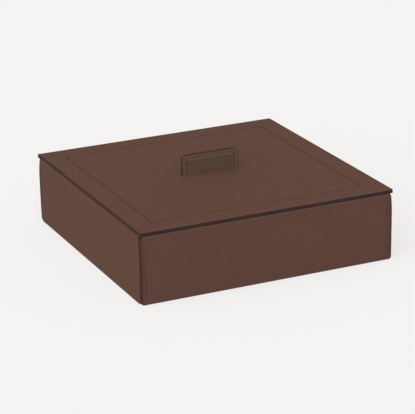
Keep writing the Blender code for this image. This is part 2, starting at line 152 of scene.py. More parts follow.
class LeatherSettings(PropertyGroup):
    """Leather and its painted edges."""

    colour: FloatVectorProperty(
        name="Leather colour",
        description="Colour of the leather",
        subtype="COLOR",
        min=0,
        max=1,
        default=(0.1205, 0.0613, 0.0437),
    )
    # Painted light: the tab's leather is a lighter copy of the leather, for the light that falls on
    # the tab
    tab_lit_colour: FloatVectorProperty(
        name="Tab colour",
        description="Colour of the leather of the tab, paler from handling",
        subtype="COLOR",
        min=0,
        max=1,
        default=(0.127, 0.0735, 0.0525),
    )
    roughness: FloatProperty(
        name="Roughness",
        description="How matt the leather is",
        subtype="FACTOR",
        min=0,
        max=1,
        default=0.56,
    )
    grain_size: FloatProperty(
        name="Grain size",
        description="Width of one pebble of the grain",
        unit="LENGTH",
        default=0.0008,
    )
    grain_depth: FloatProperty(
        name="Grain depth",
        description="Depth of the creases between the pebbles",
        unit="LENGTH",
        default=0.00006,
    )
    lid_paint: FloatVectorProperty(
        name="Lid paint",
        description="Colour of the paint on the cut edges of the lid",
        subtype="COLOR",
        min=0,
        max=1,
        default=(0.040, 0.0265, 0.0212),
    )
    panel_paint: FloatVectorProperty(
        name="Panel paint",
        description="Colour of the paint on the cut edges of the case's panels",
        subtype="COLOR",
        min=0,
        max=1,
        default=(0.052, 0.0295, 0.0240),
    )
    tab_paint: FloatVectorProperty(
        name="Tab paint",
        description="Colour of the paint on the cut edges of the tab",
        subtype="COLOR",
        min=0,
        max=1,
        default=(0.052, 0.0290, 0.0235),
    )
    panel_lap: FloatProperty(
        name="Panel lap",
        description="How far the edge paint laps onto the front and back panel",
        unit="LENGTH",
        default=0.0012,
    )
    tab_lap: FloatProperty(
        name="Tab lap",
        description="How far the edge paint laps onto the faces of the tab",
        unit="LENGTH",
        default=0.0005,
    )
    lid_lap: FloatProperty(
        name="Lid lap",
        description="How far the edge paint laps onto the lid's top at its left and right edge",
        unit="LENGTH",
        default=0.0009,
    )
    panel_gloss: FloatProperty(
        name="Panel edge gloss",
        description="Gloss of the burnished upper and lower edge of the front and back panel",
        subtype="FACTOR",
        min=0,
        max=1,
        default=0.6,
    )
    soft_gloss: FloatProperty(
        name="Soft edge gloss",
        description="Gloss of the burnished edges of the lid and the side panels",
        subtype="FACTOR",
        min=0,
        max=1,
        default=0.12,
    )
    # Painted shade along the stitched square: half the width of its darker band
    row_shade: FloatProperty(
        name="Row shade",
        description="Half the width of the darker leather along the stitched square of the lid",
        unit="LENGTH",
        default=0.0024,
    )
    edge_zone: FloatProperty(
        name="Edge zone",
        description="Width of the leather along an edge that has another tone",
        unit="LENGTH",
        default=0.0040,
    )
    panel_corner: FloatProperty(
        name="Panel corner",
        description="Radius of the corners of a case panel",
        unit="LENGTH",
        default=0.0026,
    )
    widest_share: FloatProperty(
        name="Widest height",
        description="Share of a panel's height at which its ends reach out furthest",
        subtype="FACTOR",
        min=0,
        max=1,
        default=0.70,
    )
    upper_bow: FloatProperty(
        name="Upper bow",
        description="How far the ends of the front and back panel draw in at the rim",
        unit="LENGTH",
        default=0.0012,
    )
    lower_bow: FloatProperty(
        name="Lower bow",
        description="How far they draw in at the base",
        unit="LENGTH",
        default=0.0004,
    )
    lid_corner: FloatProperty(
        name="Lid corner",
        description="Radius of the corners of the lid",
        unit="LENGTH",
        default=0.0009,
    )
    edge_rounding: FloatProperty(
        name="Edge rounding",
        description="Rounding of the burnished edges of the thick leather",
        unit="LENGTH",
        default=0.0005,
    )


class TabSettings(PropertyGroup):
    """Tab handle."""

    corner: FloatProperty(
        name="Tab corner",
        description="Radius of the upper corners of the tab",
        unit="LENGTH",
        default=0.0045,
    )
    foot_corner: FloatProperty(
        name="Foot corner",
        description="Radius of the corners of the hidden feet",
        unit="LENGTH",
        default=0.0030,
    )
    edge_rounding: FloatProperty(
        name="Edge rounding",
        description="Rounding of the tab's outer edges",
        unit="LENGTH",
        default=0.0005,
    )
    slot_gap: FloatProperty(
        name="Slot gap",
        description="Gap between the tab and the slot of the lid",
        unit="LENGTH",
        default=0.0003,
    )


class StitchSettings(PropertyGroup):
    """Saddle stitching."""

    pitch: FloatProperty(
        name="Pitch",
        description="Distance from one needle hole to the next",
        unit="LENGTH",
        default=0.0036,
    )
    thread: FloatProperty(
        name="Thread",
        description="Diameter of the waxed thread",
        unit="LENGTH",
        default=0.0008,
    )
    slant: FloatProperty(
        name="Slant",
        description="How far each stitch leans out of its row",
        subtype="ANGLE",
        default=math.radians(9),
    )
    thread_colour: FloatVectorProperty(
        name="Thread colour",
        description="Colour of the waxed thread on the case",
        subtype="COLOR",
        min=0,
        max=1,
        default=(0.135, 0.072, 0.052),
    )
    # Painted shade: the stitched square's thread is a darker copy of the case's thread, for the
    # shade of its grooves
    lid_thread_shaded_colour: FloatVectorProperty(
        name="Lid thread colour",
        description="Colour of the thread of the stitched square",
        subtype="COLOR",
        min=0,
        max=1,
        default=(0.085, 0.045, 0.033),
    )
    # Painted highlight: the thread along the top of the tab is a lighter copy, for the light it
    # catches from above
    tab_top_thread_lit_colour: FloatVectorProperty(
        name="Tab thread colour",
        description="Colour of the thread on the tab",
        subtype="COLOR",
        min=0,
        max=1,
        default=(0.31, 0.195, 0.160),
    )
    groove_width: FloatProperty(
        name="Groove width",
        description="Width of the groove that a row lies in",
        unit="LENGTH",
        default=0.0012,
    )
    groove_depth: FloatProperty(
        name="Groove depth",
        description="Depth of the groove that a row lies in",
        unit="LENGTH",
        default=0.0003,
    )
    hole_depth: FloatProperty(
        name="Hole depth",
        description="How far a needle hole goes down below the groove",
        unit="LENGTH",
        default=0.0004,
    )
    panel_inset: FloatProperty(
        name="Panel row",
        description="Distance of a panel's row from the panel's end",
        unit="LENGTH",
        default=0.0052,
    )
    panel_margin: FloatProperty(
        name="Panel margin",
        description="Distance of a row's end from the panel's upper and lower edge",
        unit="LENGTH",
        default=0.0050,
    )
    lid_inset: FloatProperty(
        name="Lid row",
        description="Distance of the stitched square from the lid's edge",
        unit="LENGTH",
        default=0.0220,
    )
    tab_inset: FloatProperty(
        name="Tab row",
        description="Distance of the tab's row from the tab's edge",
        unit="LENGTH",
        default=0.0052,
    )
    tab_margin: FloatProperty(
        name="Tab margin",
        description="Distance of the tab's lowest hole from the lid",
        unit="LENGTH",
        default=0.0018,
    )


class InsideSettings(PropertyGroup):
    """Lining, boards and base."""

    lining_colour: FloatVectorProperty(
        name="Lining colour",
        description="Colour of the suede lining",
        subtype="COLOR",
        min=0,
        max=1,
        default=(0.150, 0.094, 0.066),
    )
    board_colour: FloatVectorProperty(
        name="Board colour",
        description="Colour of the painted boards",
        subtype="COLOR",
        min=0,
        max=1,
        default=(0.040, 0.032, 0.027),
    )
    base_colour: FloatVectorProperty(
        name="Base colour",
        description="Colour of the felt that the box stands on",
        subtype="COLOR",
        min=0,
        max=1,
        default=(0.060, 0.040, 0.032),
    )
    sheet_rounding: FloatProperty(
        name="Sheet rounding",
        description="Rounding of the edges of a lining sheet",
        unit="LENGTH",
        default=0.00035,
    )
    wrap_corner: FloatProperty(
        name="Wrap corner",
        description="Radius of the corners of the lining round the locating board",
        unit="LENGTH",
        default=0.0041,
    )
    wrap_rounding: FloatProperty(
        name="Wrap rounding",
        description="Rounding of the lower edge of that lining",
        unit="LENGTH",
        default=0.0014,
    )


class StageSettings(PropertyGroup):
    """Camera, floor and light."""

    azimuth: FloatProperty(
        name="Azimuth",
        description="Direction of the camera round the box, from straight in front",
        subtype="ANGLE",
        default=math.radians(-24.547),
    )
    elevation: FloatProperty(
        name="Elevation",
        description="Height of the camera above the horizon",
        subtype="ANGLE",
        default=math.radians(19.539),
    )
    roll: FloatProperty(
        name="Roll",
        description="Turn of the camera about its line of sight",
        subtype="ANGLE",
        default=math.radians(-1.086),
    )
    distance: FloatProperty(
        name="Distance",
        description="Distance from the camera to the point that it looks at",
        unit="LENGTH",
        default=1.961,
    )
    aim: FloatVectorProperty(
        name="Aim",
        description="Point that the camera looks at",
        subtype="XYZ",
        unit="LENGTH",
        precision=4,
        default=(0.0017, 0.0107, 0.0296),
    )
    lens: FloatProperty(
        name="Focal length",
        description="Focal length in millimetres on a sensor 36 mm wide",
        default=172.85,
    )
    floor_colour: FloatVectorProperty(
        name="Floor colour",
        description="Colour of the floor and of what lies behind it",
        subtype="COLOR",
        min=0,
        max=1,
        default=(0.905, 0.896, 0.880),
    )
    bounce_share: FloatProperty(
        name="Bounce share",
        description="Share of the light on the floor that it throws back at the box",
        subtype="FACTOR",
        min=0,
        max=1,
        default=0.65,
    )
    floor_size: FloatProperty(
        name="Floor size",
        description="Length of each side of the floor",
        unit="LENGTH",
        default=60,
    )
    shadow_share: FloatProperty(
        name="Shadow share",
        description="Share of the floor's shading that the camera sees",
        subtype="FACTOR",
        min=0,
        max=1,
        default=0.22,
    )
    sky_strength: FloatProperty(
        name="Sky strength",
        description="Strength of the even light from all round",
        default=0.45,
    )
    key_strength: FloatProperty(
        name="Key strength",
        description="Strength of the soft light from the left",
        default=2.96,
    )
    key_direction: FloatVectorProperty(
        name="Key direction",
        description="Direction from the box towards the soft light",
        subtype="DIRECTION",
        default=(-0.526, -0.391, 0.498),
    )
    fill_strength: FloatProperty(
        name="Fill strength",
        description="Strength of the faint cool light from in front",
        default=0.36,
    )
    fill_colour: FloatVectorProperty(
        name="Fill colour",
        description="Colour of the light from in front",
        subtype="COLOR",
        min=0,
        max=1,
        default=(0.08, 0.10, 1.0),
    )
    fill_direction: FloatVectorProperty(
        name="Fill direction",
        description="Direction from the box towards the light in front",
        subtype="DIRECTION",
        default=(0, -1, 0.15),
    )
    light_spread: FloatProperty(
        name="Light spread",
        description="Angle that each soft light takes up, seen from the box",
        subtype="ANGLE",
        default=math.radians(90),
    )


def settings(group):
    """One group of the scene's sizes and colours."""
    return getattr(bpy.context.scene, "leather_box_" + group)


# Shaping


@contextmanager
def editing(piece):
    """Edit mode on one piece alone."""
    select_alone(piece)
    bpy.ops.object.mode_set(mode="EDIT")
    yield
    bpy.ops.object.mode_set(mode="OBJECT")


def select_alone(piece):
    """Select one piece, make it the active one, and select nothing else."""
    bpy.ops.object.select_all(action="DESELECT")
    piece.select_set(True)
    bpy.context.view_layer.objects.active = piece


def round_off(radius, steps):
    """Round what is selected to a radius."""
    bpy.ops.mesh.bevel(offset=radius, segments=steps, profile=0.5)


def add_block(name, low, high):
    """Block between two corners, as a start for a piece."""
    bpy.ops.object.select_all(action="DESELECT")
    bpy.ops.mesh.primitive_cube_add(size=1, location=(low + high) / 2, scale=high - low)
    piece = bpy.context.active_object
    piece.name = name
    piece.data.name = name
    bpy.ops.object.transform_apply(location=True, rotation=True, scale=True)
    return piece


def pick(piece, kind, wanted):
    """Select the vertices, edges or faces that a test wants, and nothing else."""
    bpy.ops.mesh.select_mode(type=kind)
    bpy.ops.mesh.select_all(action="DESELECT")
    shape = bmesh.from_edit_mesh(piece.data)
    for item in {"VERT": shape.verts, "EDGE": shape.edges, "FACE": shape.faces}[kind]:
        if wanted(item):
            item.select_set(True)
    bmesh.update_edit_mesh(piece.data)


def runs_along(edge, direction):
    """Whether an edge runs along a direction, either way."""
    run = edge.verts[1].co - edge.verts[0].co
    return abs(run.normalized().dot(direction)) > SAME_WAY


def looks(face, direction):
    """Whether a face looks in a direction."""
    return face.normal.dot(direction) > SAME_WAY


def round_slab(piece, axis, corner, rounding):
    """Round the four corners of a slab and then the outline of both of its broad faces."""
    with editing(piece):
        pick(piece, "EDGE", lambda edge: runs_along(edge, axis))
        round_off(corner, SLAB_CORNER_STEPS)
        pick(piece, "EDGE", lambda edge: on_outline(edge, axis))
        round_off(rounding, SLAB_EDGE_STEPS)


def on_outline(edge, axis):
    """Whether a broad face of a slab meets a side of it at this edge."""
    return sum(looks(face, axis) or looks(face, -axis) for face in edge.link_faces) == 1


def assign_paint(piece, axis):
    """Give the second material to the cut edges of a leather piece."""
    limit = math.cos(PAINT_ANGLE)
    with editing(piece):
        pick(piece, "FACE", lambda face: abs(face.normal.dot(axis)) < limit)
        piece.active_material_index = 1
        bpy.ops.object.material_slot_assign()


def smooth(piece):
    """Shade a piece smooth, with its broad faces kept flat."""
    select_alone(piece)
    bpy.ops.object.shade_smooth_by_angle(angle=SMOOTH_ANGLE)
    weighting = piece.modifiers.new("weighting", "WEIGHTED_NORMAL")
    weighting.keep_sharp = True
    bpy.ops.object.modifier_apply(modifier=weighting.name)


def keep(piece, body, slot, *nodes):
    """Hang a finished piece on its body and hide the nodes that it stands for. Its slot is not used.
    """
    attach(piece, body)
    if nodes:
        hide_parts(*nodes)


# Grooves


def stitches_in(seam):
    """Number of stitches that fit a row."""
    return max(1, round((seam.end - seam.start).length / settings("stitching").pitch))


def places_in(seam, point):
    """Distance of a point along a row, across it, and above its face."""
    along = (seam.end - seam.start).normalized()
    across = seam.facing.cross(along)
    offset = point - seam.start
    return offset.dot(along), offset.dot(across), offset.dot(seam.facing)


def in_groove(seam, point, above):
    """Whether a point lies within a row's groove, at a height above its face."""
    half = settings("stitching").groove_width / 2
    along, across, height = places_in(seam, point)
    beside = abs(across) < half + LEVEL and -half < along < (seam.end - seam.start).length + half
    return beside and abs(height - above) < LEVEL


def press_grooves(piece, seams):
    """Sink a groove under each stitch row, with a needle hole at each end of every stitch."""
    sewing = settings("stitching")
    half = sewing.groove_width / 2
    facing = seams[0].facing

    def is_beside(face, seam, reach):
        """Whether a face is level with the piece's own and lies within reach of a row."""
        across, height = places_in(seam, face.calc_center_median())[1:]
        return looks(face, facing) and abs(height) < LEVEL and abs(across) < reach

    def is_sunk(face):
        middle = face.calc_center_median()
        return looks(face, facing) and any(in_groove(seam, middle, 0) for seam in seams)

    def is_hole(face):
        return looks(face, facing) and any(at_hole(seam, face) for seam in seams)

    with editing(piece):
        for seam in seams:
            along = (seam.end - seam.start).normalized()
            across = facing.cross(along)
            for side in (-half, half):
                pick(piece, "FACE", lambda face: is_beside(face, seam, math.inf))
                bpy.ops.mesh.bisect(plane_co=seam.start + across * side, plane_no=across)
            for stop in (seam.start - along * half, seam.end + along * half):
                pick(piece, "FACE", lambda face: is_beside(face, seam, half))
                bpy.ops.mesh.bisect(plane_co=stop, plane_no=along)
        pick(piece, "FACE", is_sunk)
        depth = -sewing.groove_depth
        bpy.ops.mesh.inset(thickness=GROOVE_SLOPE * half, depth=depth, use_even_offset=True)
        for seam in seams:
            divide_floor(piece, seam)
        pick(piece, "FACE", is_hole)
        bpy.ops.mesh.inset(thickness=HOLE_SLOPE * half, depth=-sewing.hole_depth)


def divide_floor(piece, seam):
    """Divide a groove across its length, so that every needle hole has a place of its own."""
    sewing = settings("stitching")
    length = (seam.end - seam.start).length
    along = (seam.end - seam.start).normalized()

    def runs_in_groove(edge):
        middle = (edge.verts[0].co + edge.verts[1].co) / 2
        beside = abs(places_in(seam, middle)[1]) < sewing.groove_width / 2 + LEVEL
        return beside and runs_along(edge, along) and edge.calc_length() > length / 2

    pick(piece, "EDGE", runs_in_groove)
    shape = bmesh.from_edit_mesh(piece.data)
    shortest = min(edge.calc_length() for edge in shape.edges if edge.select)
    step = length / stitches_in(seam) / FLOORS_PER_STITCH
    bpy.ops.mesh.subdivide(number_cuts=max(1, round(shortest / step) - 1))


def at_hole(seam, face):
    """Whether a length of a groove's floor lies at a needle hole."""
    middle = face.calc_center_median()
    if not in_groove(seam, middle, -settings("stitching").groove_depth):
        return False
    pitch = (seam.end - seam.start).length / stitches_in(seam)
    along = places_in(seam, middle)[0]
    nearest = round(along / pitch) * pitch
    return abs(along - nearest) < HOLE_REACH * pitch / FLOORS_PER_STITCH


# Rows


def panel_seams(side):
    """The two upright rows of the front or back panel."""
    sewing = settings("stitching")
    low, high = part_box("leather_" + side)
    facing = WALLS[side]
    face = low.y if facing.y < 0 else high.y
    end_inset = sewing.panel_margin + sewing.groove_width / 2
    seams = []
    for x in (low.x + sewing.panel_inset, high.x - sewing.panel_inset):
        ends = (Vector((x, face, z)) for z in (low.z + end_inset, high.z - end_inset))
        seams.append(Seam(*ends, facing))
    return seams


def lid_seams():
    """The four rows of the stitched square on the lid."""
    inset = settings("stitching").lid_inset
    low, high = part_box("lid_leather")
    corners = [
        Vector((low.x + inset, low.y + inset, high.z)),
        Vector((high.x - inset, low.y + inset, high.z)),
        Vector((high.x - inset, high.y - inset, high.z)),
        Vector((low.x + inset, high.y - inset, high.z)),
    ]
    return [Seam(corners[i], corners[(i + 1) % 4], AXIS_Z) for i in range(4)]


def tab_seams(side):
    """The rows of one face of the tab: up one end, along the top and down the other end."""
    sewing = settings("stitching")
    low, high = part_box("handle_%s_leaf" % side)
    lid_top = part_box("lid_leather")[1].z
    facing = WALLS[side]
    face = -leaf_outer() if facing.y < 0 else leaf_outer()
    left, right = low.x + sewing.tab_inset, high.x - sewing.tab_inset
    bottom, top = lid_top + sewing.tab_margin, high.z - sewing.tab_inset
    turns = ((left, bottom), (left, top), (right, top), (right, bottom))
    corners = [Vector((x, face, z)) for x, z in turns]
    return [Seam(corners[i], corners[i + 1], facing) for i in range(3)]


def leaf_outer():
    """Distance of a leaf's outer face from the middle plane of the tab."""
    shape = frame["nodes"]["handle_front_leaf"].data
    lid_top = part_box("lid_leather")[1].z
    return max(-vertex.co.y for vertex in shape.vertices if vertex.co.z > lid_top)


# Finishes


class Finish:
    """A material under construction, and short ways to add and join its nodes."""

    def __init__(self, name):
        self.material = bpy.data.materials.new(name)
        self.material.use_nodes = True
        self.tree = self.material.node_tree
        self.shader = self.tree.nodes["Principled BSDF"]
        self.place = self.add("ShaderNodeTexCoord").outputs["Object"]

    def add(self, kind, inputs=None, **choices):
        """A new node with its choices made and its inputs fed."""
        node = self.tree.nodes.new(kind)
        for name, value in choices.items():
            setattr(node, name, value)
        for name, value in (inputs or {}).items():
            self.feed(node.inputs[name], value)
        return node

    def feed(self, socket, value):
        """Link a socket to another node's output, or set its value."""
        if isinstance(value, bpy.types.NodeSocket):
            self.tree.links.new(value, socket)
        else:
            socket.default_value = value

    def noise(self, size, detail, place=None, roughness=0.5):
        """Noise whose patches have about the given size in metres."""
        inputs = {
            "Vector": place or self.place,
            "Scale": 1 / size,
            "Detail": detail,
            "Roughness": roughness,
        }
        return self.add("ShaderNodeTexNoise", inputs).outputs["Fac"]

    def cells(self, size, place):
        """Distance from the borders of cells of about the given size in metres."""
        inputs = {"Vector": place, "Scale": 1 / size}
        node = self.add("ShaderNodeTexVoronoi", inputs, feature="DISTANCE_TO_EDGE")
        return node.outputs["Distance"]

    def sum(self, kind, first, second=0.0, third=0.0):
        """Result of a sum with up to three values."""
        node = self.add("ShaderNodeMath", operation=kind)
        for socket, value in zip(node.inputs, (first, second, third)):
            self.feed(socket, value)
        return node.outputs["Value"]

    def vector(self, kind, first, second=(0, 0, 0), third=(0, 0, 0)):
        """Result of a sum with up to three vectors."""
        node = self.add("ShaderNodeVectorMath", operation=kind)
        for socket, value in zip(node.inputs, (first, second, third)):
            self.feed(socket, value)
        return node.outputs["Vector"]

    def spread(self, value, from_low, from_high, to_low, to_high):
        """Carry a value smoothly from one range over to another."""
        inputs = {
            "Value": value,
            "From Min": from_low,
            "From Max": from_high,
            "To Min": to_low,
            "To Max": to_high,
        }
        node = self.add("ShaderNodeMapRange", inputs, interpolation_type="SMOOTHSTEP")
        return node.outputs["Result"]

    def mix(self, share, first, second):
        """Colour between two colours."""
        node = self.add("ShaderNodeMix", data_type="RGBA")
        for index, value in ((0, share), (6, first), (7, second)):
            self.feed(node.inputs[index], value)
        return node.outputs[2]

    def vary(self, pattern, colour, darkest, lightest):
        """Colour that follows a pattern from a darker to a lighter tone."""
        return self.mix(pattern, tinted(colour, darkest), tinted(colour, lightest))

    def scaled(self, colour, share):
        """A colour made lighter or darker by a share."""
        node = self.add("ShaderNodeVectorMath", operation="SCALE")
        self.feed(node.inputs["Vector"], colour)
        self.feed(node.inputs["Scale"], share)
        return node.outputs["Vector"]

    def bump(self, height, depth, strength, under=None):
        """Relief of the given depth in metres, on top of a coarser one."""
        inputs = {"Height": height, "Distance": depth, "Strength": strength}
        if under:
            inputs["Normal"] = under
        return self.add("ShaderNodeBump", inputs).outputs["Normal"]

    def shade(self, **inputs):
        """Feed the shader's sockets, named with _ for a space."""
        for name, value in inputs.items():
            self.feed(self.shader.inputs[name.replace("_", " ")], value)
        return self.material


def tinted(colour, share):
    """A colour made lighter or darker, as a shader takes it."""
    return (*(min(1, channel * share) for channel in colour), 1)


def room_in(finish, low, high):
    """Distance of a point from the faces of a box, along each axis."""
    middle, half = (low + high) / 2, (high - low) / 2
    reach = finish.vector("ABSOLUTE", finish.vector("SUBTRACT", finish.place, middle))
    room = finish.add("ShaderNodeSeparateXYZ", {"Vector": finish.vector("SUBTRACT", half, reach)})
    return {name: room.outputs[name] for name in "XYZ"}


def treat_edges(finish, dress, colour, room, drift):
    """Leather with a burnish or painted highlight along the edges, and edge paint lapping over them.
    """
    zone = settings("leather").edge_zone
    rooms = [room[name] for name in dress.ways]
    edge = finish.sum("MULTIPLY_ADD", drift, LAP_WANDER, finish.sum("MINIMUM", rooms[0], rooms[-1]))
    beside = finish.spread(edge, FULL_ZONE_SHARE * zone, zone + ZONE_FADE, 1.0, 0.0)
    colour = finish.mix(beside, colour, finish.scaled(colour, dress.tone))
    lap = finish.spread(edge, dress.lap, dress.lap + LAP_FADE, 1.0, 0.0)
    return finish.mix(lap, colour, tinted(dress.paint, 1))


def paint_square_shade(finish, colour, room):
    """Painted shade along the grooves of the stitched square, most at its left and right."""
    inset, width = settings("stitching").lid_inset, settings("leather").row_shade
    for across, along, share in (("X", "Y", 1.0), ("Y", "X", FRONT_ROW_SHADE_SHARE)):
        off = finish.sum("ABSOLUTE", finish.sum("SUBTRACT", room[across], inset))
        near = finish.spread(off, width / 4, width, share, 0.0)
        within = finish.spread(room[along], inset - width, inset, 0.0, 1.0)
        shaded = finish.sum("MULTIPLY", near, within)
        colour = finish.mix(shaded, colour, finish.scaled(colour, ROW_SHADE_TONE))
    return colour


def leather_finish(name, dress, low, high):
    """Smooth leather with a fine pebbled grain."""
    look = settings("leather")
    finish = Finish(name)
    grain = look.grain_size
    drift = finish.add("ShaderNodeTexNoise", {"Vector": finish.place, "Scale": 0.5 / grain})
    warped = finish.vector("MULTIPLY_ADD", drift.outputs["Color"], (grain,) * 3, finish.place)
    pebbles = finish.spread(finish.cells(grain, warped), 0.0, CREASE_SHARE, 0.0, 1.0)
    pores = finish.noise(size=grain / 4, detail=3)
    hide = finish.noise(size=0.045, detail=4, roughness=0.6)
    mottle = finish.noise(size=0.006, detail=3)
    colour = finish.vary(hide, dress.colour, darkest=0.94, lightest=1.06)
    dull = finish.spread(mottle, 0.3, 0.7, 0.0, 0.25)
    colour = finish.mix(dull, colour, tinted(dress.colour, 0.86))
    # Painted shade in the creases of the grain, darker where the pebbles meet
    creases = finish.spread(pebbles, 0.0, 1.0, 0.22, 0.0)
    colour = finish.mix(creases, colour, tinted(dress.colour, 0.6))
    room = room_in(finish, low, high)
    # Painted shade along the stitched square of the lid
    if dress.squared:
        colour = paint_square_shade(finish, colour, room)
    if dress.ways:
        colour = treat_edges(finish, dress, colour, room, mottle)
    matt = finish.spread(hide, 0.2, 0.8, look.roughness - 0.05, look.roughness + 0.05)
    matt = finish.sum("MULTIPLY_ADD", pebbles, -0.06, matt)
    swell = finish.bump(finish.noise(size=0.03, detail=2), depth=0.0005, strength=0.35)
    pebbled = finish.sum("MULTIPLY_ADD", pores, 0.35, pebbles)
    relief = finish.bump(pebbled, look.grain_depth, strength=0.6, under=swell)
    gloss = LEATHER_GLOSS
    if dress.burnished:
        edge = room[dress.burnished]
        gloss = finish.spread(edge, look.edge_rounding, 2 * look.edge_rounding, dress.gloss, gloss)
    return finish.shade(Base_Color=colour, Roughness=matt, Normal=relief, Specular_IOR_Level=gloss)


def lighten_lower_ends(finish, colour, low, high):
    """Paint on the left and right edge of a slab, turning towards the leather colour lower down."""
    look = settings("leather")
    room = room_in(finish, low, high)["X"]
    ends = finish.spread(room, look.edge_rounding, 2 * look.edge_rounding, 1.0, 0.0)
    height = finish.add("ShaderNodeSeparateXYZ", {"Vector": finish.place}).outputs["Z"]
    lower = finish.spread(height, low.z, high.z, LOWER_END_SHARE, 0.0)
    return finish.mix(finish.sum("MULTIPLY", ends, lower), colour, tinted(look.colour, LOWER_END_TONE))


def paint_finish(name, tone, lower_end_box=None):
    """Edge paint in several coats, lighter towards the lower arris at the ends of a given box."""
    finish = Finish(name)
    coats = finish.noise(size=0.0016, detail=3)
    drift = finish.noise(size=0.02, detail=3)
    colour = finish.vary(drift, tone, darkest=0.85, lightest=1.2)
    # Painted highlight on the ridges of the paint coats
    ridge_highlight = finish.spread(coats, 0.62, 0.8, 0.0, 0.5)
    colour = finish.mix(ridge_highlight, colour, tinted(tone, 1.7))
    matt = finish.spread(coats, 0.2, 0.8, 0.42, 0.60)
    if lower_end_box:
        colour = lighten_lower_ends(finish, colour, *lower_end_box)
    relief = finish.bump(finish.noise(size=0.0009, detail=4), depth=0.00006, strength=0.7)
    gloss = LEATHER_GLOSS
    return finish.shade(Base_Color=colour, Roughness=matt, Normal=relief, Specular_IOR_Level=gloss)


def thread_finish(name, tone):
    """Waxed thread of twisted strands. The attribute says where a point lies on its stitch."""
    sewing = settings("stitching")
    finish = Finish(name)
    strand = finish.add("ShaderNodeAttribute", attribute_name="strand")
    parts = finish.add("ShaderNodeSeparateXYZ", {"Vector": strand.outputs["Vector"]})
    turn = finish.sum("ARCTAN2", parts.outputs["Z"], parts.outputs["Y"])
    twist = finish.sum("MULTIPLY_ADD", parts.outputs["X"], 2 * math.pi / sewing.thread, turn)
    ply = finish.sum("SINE", finish.sum("MULTIPLY", twist, 2.0))
    ply = finish.spread(ply, -1.0, 0.6, 0.0, 1.0)
    wax = finish.noise(size=0.004, detail=3)
    # Painted shade between the plies of the twist and painted highlight on them
    colour = finish.vary(ply, tone, darkest=0.55, lightest=1.1)
    waxed = finish.spread(wax, 0.35, 0.7, 0.0, 0.3)
    colour = finish.mix(waxed, colour, tinted(tone, 0.8))
    matt = finish.spread(wax, 0.3, 0.7, 0.38, 0.55)
    relief = finish.bump(ply, depth=0.00008, strength=0.8)
    return finish.shade(Base_Color=colour, Roughness=matt, Normal=relief, Specular_IOR_Level=0.12)


def suede_finish():
    """Suede-like cloth, brushed lighter and darker by hand."""
    look = settings("inside")
    finish = Finish("lining_suede")
    brushed = finish.noise(size=0.028, detail=4, roughness=0.65)
    nap = finish.noise(size=0.0007, detail=4)
    fibre = finish.noise(size=0.00022, detail=3)
    stroke = finish.spread(brushed, 0.3, 0.7, 0.0, 1.0)
    colour = finish.vary(stroke, look.lining_colour, darkest=0.84, lightest=1.14)
    # Painted shade in the hollows of the nap
    hollow_shade = finish.spread(nap, 0.3, 0.75, 0.35, 0.0)
    colour = finish.mix(hollow_shade, colour, tinted(look.lining_colour, 0.6))
    relief = finish.bump(finish.sum("MULTIPLY_ADD", fibre, 0.6, nap), depth=0.00022, strength=0.7)
    matt = finish.spread(brushed, 0.3, 0.7, 0.98, 0.86)
    finish.shade(Sheen_Weight=0.25, Sheen_Roughness=0.45, Sheen_Tint=(0.75, 0.62, 0.52, 1))
    return finish.shade(Base_Color=colour, Roughness=matt, Normal=relief, Specular_IOR_Level=0.1)


def board_finish():
    """Fibreboard sealed and painted dark, with the roller's fine stipple."""
    look = settings("inside")
    finish = Finish("painted_board")
    drift = finish.noise(size=0.03, detail=3)
    stipple = finish.noise(size=0.0006, detail=3)
    colour = finish.vary(drift, look.board_colour, darkest=0.85, lightest=1.15)
    # Painted highlight on the raised tips of the stipple
    tip_highlight = finish.spread(stipple, 0.6, 0.8, 0.0, 0.5)
    colour = finish.mix(tip_highlight, colour, tinted(look.board_colour, 1.5))
    matt = finish.spread(stipple, 0.3, 0.7, 0.72, 0.58)
    relief = finish.bump(stipple, depth=0.00005, strength=0.7)
    return finish.shade(Base_Color=colour, Roughness=matt, Normal=relief, Specular_IOR_Level=0.3)


def felt_finish():
    """Pressed wool felt with loose fibres."""
    look = settings("inside")
    finish = Finish("base_felt")
    clump = finish.noise(size=0.0035, detail=4, roughness=0.7)
    stretched = finish.vector("MULTIPLY", finish.place, (1.0, 3.5, 1.0))
    fibre = finish.noise(size=0.0012, detail=5, place=stretched, roughness=0.7)
    colour = finish.vary(clump, look.base_colour, darkest=0.75, lightest=1.3)
    # Painted highlight on the raised fibres
    hair_highlight = finish.spread(fibre, 0.55, 0.75, 0.0, 0.5)
    colour = finish.mix(hair_highlight, colour, tinted(look.base_colour, 2.0))
    relief = finish.bump(finish.sum("MULTIPLY_ADD", fibre, 0.7, clump), depth=0.0004, strength=0.7)
    matt = finish.spread(clump, 0.3, 0.7, 1.0, 0.9)
    finish.shade(Sheen_Weight=0.2, Specular_IOR_Level=0.1)
    return finish.shade(Base_Color=colour, Roughness=matt, Normal=relief)


def once(name, make):
    """A material of the given name, made the first time that it is asked for."""
    return bpy.data.materials.get(name) or make()


def dress_leather(piece, dress, low, high):
    """Leather on the broad faces of a piece and paint on its cut edges."""
    piece.data.materials.append(leather_finish(piece.name + "_leather", dress, low, high))
    lower_end_box = (low, high) if dress.squared else None
    piece.data.materials.append(paint_finish(piece.name + "_paint", dress.paint, lower_end_box))


# Pieces


